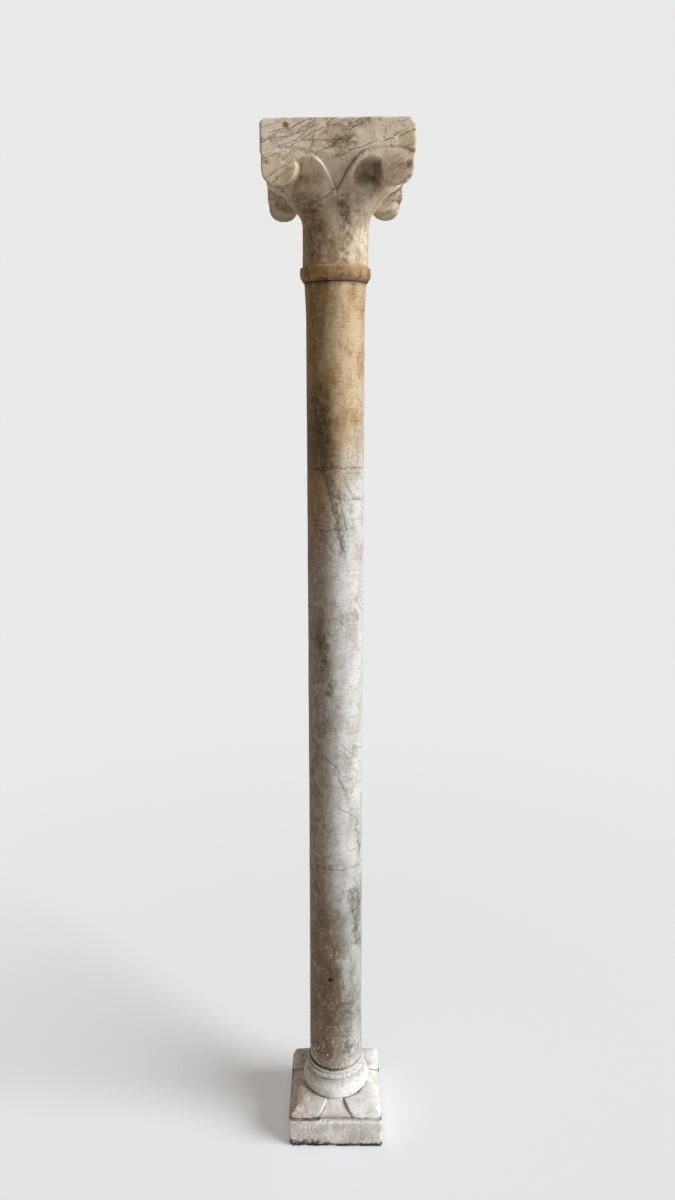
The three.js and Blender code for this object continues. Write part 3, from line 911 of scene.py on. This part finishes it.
def capital_wear_and_shade(paint, level, cloud, mottle, grain):
    """Dirt and painted shade in grooves and sheltered places, painted shadow in the right leaves' hollows,
    painted shade in the crease beside the right rims, pale worn edges and a painted highlight on the left
    rims.
    """
    x = paint.x
    groove, shelter = paint.stored("groove"), paint.stored("shelter")
    rim, scoop = paint.stored("leaf_rim"), paint.stored("scoop")
    # Darker in grooves: dirt and painted shade.
    groove_dirt_and_shade = paint.ramp(groove + (grain - 0.5) * 0.7, 0.25, 1.4)
    # Brown painted shade in sheltered places, from the middle to the right.
    shade = paint.ramp(shelter + (cloud - 0.5) * 1.5, 1.2, 6) * paint.ramp(x, -50, 10)
    # Painted shadow in the hollows of the leaves on the right, beside the volute discs.
    right_scoop_shadow = paint.ramp(scoop + (mottle - 0.5) * 14, 0, -9) * paint.ramp(level, 142, 166)
    right_scoop_shadow = right_scoop_shadow * paint.ramp(x, 20, 50) * paint.ramp(rim, -2, -8)
    paint.coat(tone(88, 62, 32), paint.upper(groove_dirt_and_shade * 0.7, shade * 0.5, right_scoop_shadow * 0.66))
    carved = paint.ramp(level, 136, 150) * paint.ramp(level, 206, 194)
    # Painted shade in the crease beside the leaf rims on the right, shadow side.
    crease = paint.ramp(abs(rim - 2.6), 2.2, 0.4) * carved * paint.ramp(x, -4, 6)
    paint.coat(tone(78, 62, 44), crease * 0.6)
    # Pale worn edges, and a painted highlight on the leaf rims on the left, lit side.
    edge = paint.ramp(groove, -0.35, -1.3)
    rim_highlight = paint.ramp(abs(rim + 0.6), 3, 0.8) * carved * paint.ramp(x, 4, -6)
    paint.coat(tone(246, 236, 220), paint.upper(edge * 0.55, rim_highlight * 0.75))


def paint_capital():
    paint = Paint("capital_marble")
    place, x, z = paint.place, paint.x, paint.z
    level = z - CAPITAL_FOOT
    cloud = paint.noise(place, 44, detail=6, roughness=0.62, seed=61)
    mottle = paint.noise(place, 9, detail=6, roughness=0.7, seed=72)
    grain = paint.noise(place, 4, detail=4, roughness=0.7, seed=62)
    paint.colour = paint.mix(tone(236, 221, 200), tone(202, 181, 152), paint.ramp(cloud, 0.40, 0.68))
    capital_bell(paint, level, cloud, mottle)
    # A dark line round the capital's bed under its ring: dirt and painted shade.
    bed_dirt_and_shade = paint.ramp(level + (grain - 0.5) * 4, 5, 0)
    paint.coat(tone(50, 34, 20), bed_dirt_and_shade * 0.8)
    paint.coat(tone(136, 114, 86), paint.ramp(mottle, 0.52, 0.70) * 0.40)
    paint.coat(tone(246, 238, 224), paint.ramp(mottle, 0.46, 0.30) * 0.34)

    pale = paint.ramp(x + (cloud - 0.5) * 60, -40, -100) * paint.ramp(level, 186, 200)
    paint.coat(tone(246, 236, 222), pale * 0.5)
    # Brownish painted shade on the right front volute's disc.
    right_disc_shade = paint.spot((96, -129, 2018), 34, cloud)
    paint.coat(tone(140, 112, 78), right_disc_shade * 0.5)
    top_edge = paint.ramp(level, 240, 247) * paint.ramp(mottle, 0.52, 0.62)
    paint.coat(tone(72, 58, 42), top_edge * 0.6)

    seam = capital_seams(paint, level)
    paint.coat(tone(62, 52, 42), seam * 0.88)
    capital_spots(paint, mottle, grain)
    capital_wear_and_shade(paint, level, cloud, mottle, grain)
    specks = paint.patches(3.4, 0.63, 0.72, seed=73, detail=2)
    paint.coat(tone(90, 66, 42), specks * 0.42)

    roughness = 0.52 + grain * 0.28
    relief = grain * 0.6 + mottle * 0.8 - seam * 0.6 - specks * 0.6
    return paint.finish(roughness, relief, 1.1)


print("capital paint ready with", len(CAPITAL_SEAMS), "drawn seams")

# %% [markdown]
# ## Paint of the base
#
# The base is the palest stone, chalky and matt. Its plinth is greyer than the leaves, its lower edge has
# crumbled and gone dark with floor dirt, and a thin painted contact shadow runs along its foot. Dark lines of
# dirt and painted shade fill the joints under the cushion, between the leaves and round the ring, and painted
# shade lies under the ring, under the front face leaf's tip and on the left, shadow side. The cutter stored
# how near each point is to such a joint.


# %% Base marble
def base_grime_and_shade(paint, collar, cloud, mottle, grain):
    """Pale worn edges, painted shade in sheltered places and under the front face leaf, patina and painted
    shade on the left, and dark lines of dirt and painted shade in the joints and the gap under the shaft.
    """
    x, y, z = paint.x, paint.y, paint.z
    groove, shelter = paint.stored("groove"), paint.stored("shelter")
    edge = paint.ramp(groove, -0.3, -1.1)
    paint.coat(tone(250, 248, 244), edge * 0.6)
    # Brown painted shade in sheltered places.
    shade = paint.ramp(shelter + (cloud - 0.5) * 1.6, 0.8, 4.5)
    paint.coat(tone(138, 110, 74), shade * 0.55)
    # Brown on the left, shadow side: patina and painted shade.
    patina_and_shade = paint.ramp(x + (cloud - 0.5) * 70, -22, -90) * paint.ramp(z, 50, 70)
    paint.coat(tone(138, 110, 74), patina_and_shade * (0.35 + paint.ramp(mottle, 0.4, 0.6) * 0.3))
    # Painted shade under the tip of the front face leaf, where it curls under.
    under_leaf_shade = paint.ramp(z + (mottle - 0.5) * 10, 83, 74) * paint.ramp(z, 66, 70)
    under_leaf_shade = under_leaf_shade * paint.ramp(abs(x + 8), 62, 34) * paint.ramp(y, -40, -80)
    paint.coat(tone(120, 96, 68), under_leaf_shade * 0.55)
    # Dark lines in the carved joints: dirt and painted shade.
    joint = paint.ramp(paint.stored("joint") + (grain - 0.5) * 2.4, 1.5, 0)
    kept = 0.25 + paint.patches(26, 0.40, 0.60, seed=88, detail=4) * 0.55
    kept = paint.upper(kept, collar * 0.75)
    # Darker in grooves: dirt and painted shade.
    groove_dirt_and_shade = paint.ramp(groove + (grain - 0.5) * 0.6, 0.3, 1.3)
    paint.coat(tone(58, 46, 30), paint.upper(groove_dirt_and_shade * 0.7, joint * kept))
    around = paint.length(x, y)
    # Dark in the gap round the shaft's foot, stronger on the left, shadow side: dirt and painted shade.
    bed_dirt_and_shade = paint.ramp(around + (grain - 0.5) * 3, 63, 60.5) * paint.ramp(z, 156, 161)
    paint.coat(tone(72, 50, 26), bed_dirt_and_shade * (0.3 + paint.ramp(x, 36, -10) * 0.55))


def paint_base():
    paint = Paint("base_marble")
    place, x, z = paint.place, paint.x, paint.z
    cloud = paint.noise(place, 36, detail=6, roughness=0.62, seed=81)
    mottle = paint.noise(place, 9, detail=6, roughness=0.7, seed=87)
    grain = paint.noise(place, 3.6, detail=4, roughness=0.7, seed=82)
    paint.colour = paint.mix(tone(236, 237, 238), tone(212, 210, 206), paint.ramp(cloud, 0.40, 0.68))
    face = paint.ramp(z + (mottle - 0.5) * 12, 66, 58)
    grey = paint.mix(tone(220, 217, 210), tone(184, 179, 169), paint.ramp(cloud, 0.38, 0.64))
    paint.coat(grey, face * 0.9)
    collar = paint.ramp(z, 138, 142)
    paint.coat(tone(122, 104, 76), collar * paint.ramp(grain, 0.48, 0.62) * 0.7)
    # Painted shade on the cushion under the ring.
    under_ring_shade = paint.ramp(z + (mottle - 0.5) * 18, 122, 138) * paint.ramp(z, 142, 138)
    paint.coat(tone(142, 132, 116), under_ring_shade * 0.5)
    paint.coat(tone(172, 160, 140), paint.ramp(mottle, 0.52, 0.70) * 0.36)
    paint.coat(tone(250, 249, 247), paint.ramp(mottle, 0.46, 0.30) * 0.30)
    seam = paint.seams(paint.along(40, 2.4), 44, 0.016, seed=83)
    seam = seam * paint.patches(60, 0.50, 0.64, seed=84)
    paint.coat(tone(140, 132, 120), seam * 0.6)
    base_grime_and_shade(paint, collar, cloud, mottle, grain)

    crumbs = paint.noise(place, 10, detail=6, roughness=0.7, seed=85)
    worst = paint.ramp(x, 10, -80) * 12
    low = paint.ramp(z + (crumbs - 0.5) * 64 - worst, 13, -1)
    paint.coat(tone(44, 38, 30), low * 0.88)
    # Painted contact shadow in a thin line along the plinth's foot.
    contact_shadow = paint.ramp(z + (crumbs - 0.5) * 16, 11, 5)
    paint.coat(tone(30, 26, 21), contact_shadow * 0.93)
    specks = paint.patches(3.4, 0.62, 0.71, seed=86, detail=2)
    paint.coat(tone(104, 90, 70), specks * 0.5)

    roughness = 0.66 + grain * 0.22
    relief = grain * 0.9 + mottle * 0.8 - specks * 0.8 - seam * 0.3
    return paint.finish(roughness, relief, 1.3)


print("base paint ready")

# %% [markdown]
# ## Cutting the stones
#
# Each tree now runs once. The base is sampled every 1.6 mm and the capital every 2 mm, which is fine
# enough for chips and grooves to be real shape. The finished stones stand where the frame's stones stand
# and take their place.

# %% Cut, paint and set the stones
MARGIN = 3.0
BASE_CELL = 1.6
CAPITAL_CELL = 2.0


def roomy(node):
    """The corners of a stone's box with a little room round it, in millimetres."""
    low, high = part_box(node)
    return [v * MM - MARGIN for v in low], [v * MM + MARGIN for v in high]


base_rule = Stone("base_rule")
base_skin = base_rule.solid(carve_base(base_rule), *roomy("base"), BASE_CELL)
base = base_rule.make("base_stone", base_skin, paint_base())
shaft_rule = Stone("shaft_rule")
shaft = shaft_rule.make("shaft_stone", carve_shaft(shaft_rule), paint_shaft())
capital_rule = Stone("capital_rule")
capital_skin = capital_rule.solid(carve_capital(capital_rule), *roomy("capital"), CAPITAL_CELL)
capital = capital_rule.make("capital_stone", capital_skin, paint_capital())

for stone, node in ((base, "base"), (shaft, "shaft"), (capital, "capital")):
    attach(stone, "root")
    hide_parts(node)

# %% [markdown]
# ## Floor, light and camera
#
# The column stands on a plain pale floor in a bright room. A broad, low sun from the right gives the
# strong fall of light across the shaft and the soft shadow to the left of the base, and dim warm
# surroundings fill the dark side. The floor fades out away from the column, so no horizon cuts the
# picture. The camera is at eye level, close in front and tipped down, with a wide lens, as a hand-held
# picture of a whole column needs.

# %% Stage
FLOOR_RADIUS = 2.4
FADE_START = 0.7
FLOOR_SIDES = 96
FILL_STRENGTH = 0.24
WALL_STRENGTH = 0.82
LENS = 25.98
EYE = (0.004, -1.713, 1.662)
LOOK_ANGLE = 76.3

turns = [2 * math.pi * i / FLOOR_SIDES for i in range(FLOOR_SIDES)]
floor_points = [(FLOOR_RADIUS * math.cos(turn), FLOOR_RADIUS * math.sin(turn), 0) for turn in turns]
floor_mesh = bpy.data.meshes.new("floor")
floor_mesh.from_pydata(floor_points, [], [list(range(FLOOR_SIDES))])
floor = bpy.data.objects.new("floor", floor_mesh)
bpy.context.collection.objects.link(floor)
screed = Paint("pale_floor")
away = screed.vector("LENGTH", screed.place, output="Value")
cover = screed.ramp(away, FLOOR_RADIUS * MM, FADE_START * MM)
matt = screed.node("ShaderNodeBsdfDiffuse", {"Color": tone(224, 228, 235)})
glow = screed.node("ShaderNodeEmission", {"Color": tone(250, 252, 255), "Strength": 0.19})
lit = screed.node("ShaderNodeAddShader")
clear = screed.node("ShaderNodeBsdfTransparent")
fade = screed.node("ShaderNodeMixShader", {"Fac": cover})
screed.tree.links.new(matt.outputs[0], lit.inputs[0])
screed.tree.links.new(glow.outputs[0], lit.inputs[1])
screed.tree.links.new(clear.outputs[0], fade.inputs[1])
screed.tree.links.new(lit.outputs[0], fade.inputs[2])
screed.tree.links.new(fade.outputs[0], screed.node("ShaderNodeOutputMaterial").inputs["Surface"])
floor_mesh.materials.append(screed.material)

world = bpy.data.worlds.new("pale_room")
bpy.context.scene.world = world
world.use_nodes = True
room = world.node_tree
fill = room.nodes["Background"]
fill.inputs["Color"].default_value = (1.0, 0.86, 0.68, 1.0)
fill.inputs["Strength"].default_value = FILL_STRENGTH
wall = room.nodes.new("ShaderNodeBackground")
wall.inputs["Color"].default_value = (1.0, 1.0, 1.0, 1.0)
wall.inputs["Strength"].default_value = WALL_STRENGTH
seen = room.nodes.new("ShaderNodeLightPath")
choose = room.nodes.new("ShaderNodeMixShader")
room.links.new(seen.outputs["Is Camera Ray"], choose.inputs[0])
room.links.new(fill.outputs[0], choose.inputs[1])
room.links.new(wall.outputs[0], choose.inputs[2])
room.links.new(choose.outputs[0], room.nodes["World Output"].inputs["Surface"])


def shine(name, energy, softness, from_above, from_front, colour):
    """A broad light given by its angles from straight above and from straight in front, in degrees."""
    lamp = bpy.data.lights.new(name, "SUN")
    lamp.energy = energy
    lamp.angle = math.radians(softness)
    lamp.color = colour
    holder = bpy.data.objects.new(name, lamp)
    holder.rotation_euler = (math.radians(from_above), 0.0, math.radians(from_front))
    bpy.context.collection.objects.link(holder)


WHITE = (1.0, 1.0, 1.0)
WARM = (1.0, 0.9, 0.76)
shine("window", energy=3.5, softness=36.0, from_above=62.0, from_front=68.0, colour=WHITE)
shine("bounce", energy=0.28, softness=70.0, from_above=72.0, from_front=-125.0, colour=WARM)
bpy.context.scene.view_settings.view_transform = "Standard"

camera_data = bpy.data.cameras.new("camera")
camera_data.sensor_width = 36.0
camera_data.lens = LENS
camera = bpy.data.objects.new("camera", camera_data)
camera.location = EYE
camera.rotation_euler = (math.radians(LOOK_ANGLE), 0.0, 0.0)
bpy.context.collection.objects.link(camera)
bpy.context.scene.camera = camera
print("stage set, camera at", EYE)
